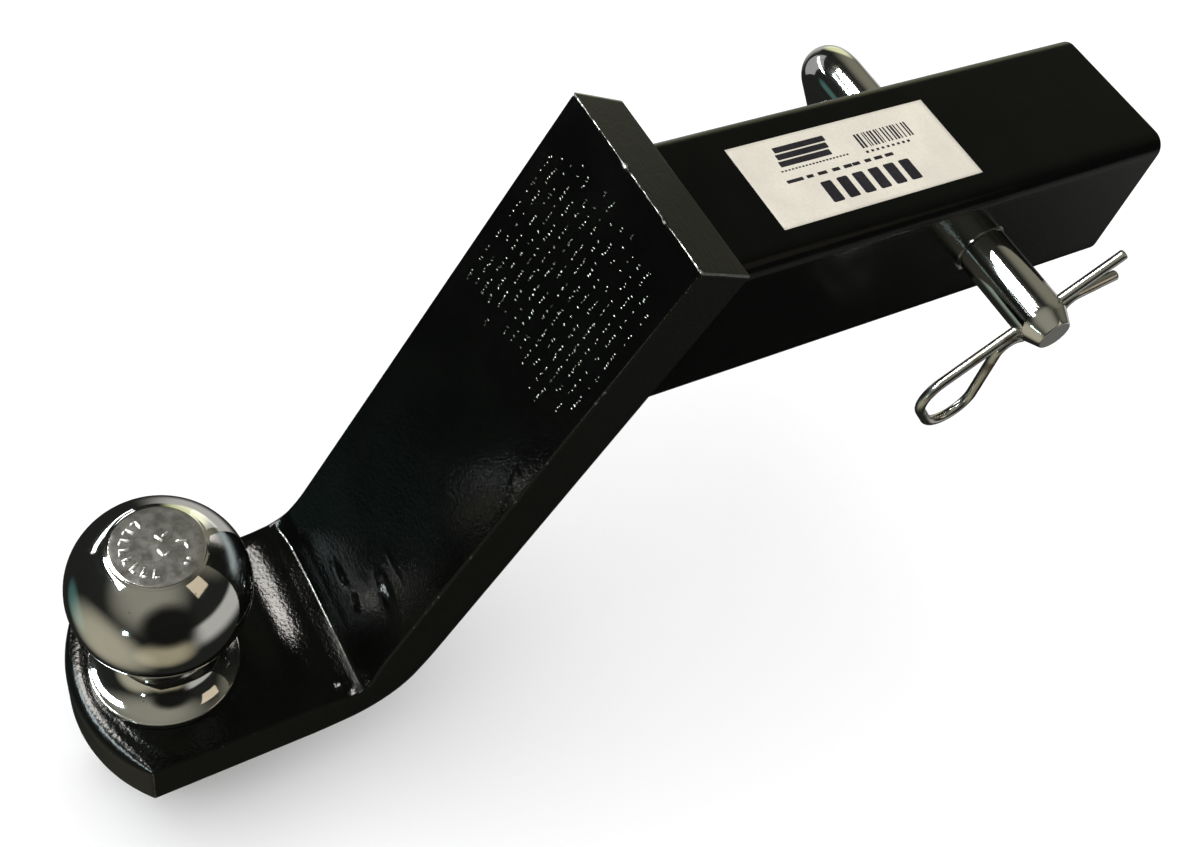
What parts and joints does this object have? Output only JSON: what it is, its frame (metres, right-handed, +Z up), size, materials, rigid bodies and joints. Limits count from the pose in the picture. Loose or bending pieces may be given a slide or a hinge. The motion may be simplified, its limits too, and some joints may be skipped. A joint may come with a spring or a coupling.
{
  "type": "drop ball mount",
  "caption": "Drop ball mount: hollow square shank, bent flat bar, chromed tow ball bolted on, with a bent hitch pin and a hairpin clip.",
  "frame": {"origin": "centre of the shank's pin hole, on the shank's axis", "axes": "+Y along the shank into the receiver, +X towards the pin's tip and clip, +Z up along the ball's axis"},
  "size_m": [0.1311, 0.3347, 0.222],
  "materials": {
    "black_enamel": "gloss",
    "chrome_plate": "polished",
    "zinc_steel": "satin",
    "spring_wire": "bright",
    "label_paper": "semi-matte"
  },
  "bodies": {
    "ball_mount": {"shank_tube": "black_enamel", "drop_bar": "black_enamel", "weld_top": "black_enamel", "weld_bottom": "black_enamel", "weld_near": "black_enamel", "weld_far": "black_enamel", "trailer_ball": "chrome_plate", "lock_washer": "zinc_steel", "hex_nut": "zinc_steel", "shank_label": "label_paper"},
    "pin": {"hitch_pin": "chrome_plate"},
    "clip": {"hairpin_clip": "spring_wire"}
  },
  "joints": [
    {"name": "pin_slide", "type": "slide", "parent": "ball_mount", "child": "pin", "axis": [1, 0, 0], "range_m": [-0.025, 0.024]},
    {"name": "clip_pull", "type": "slide", "parent": "pin", "child": "clip", "axis": [0, -0.788, -0.6157], "range_m": [0, 0.08], "deforming": ["hairpin_clip"]}
  ]
}
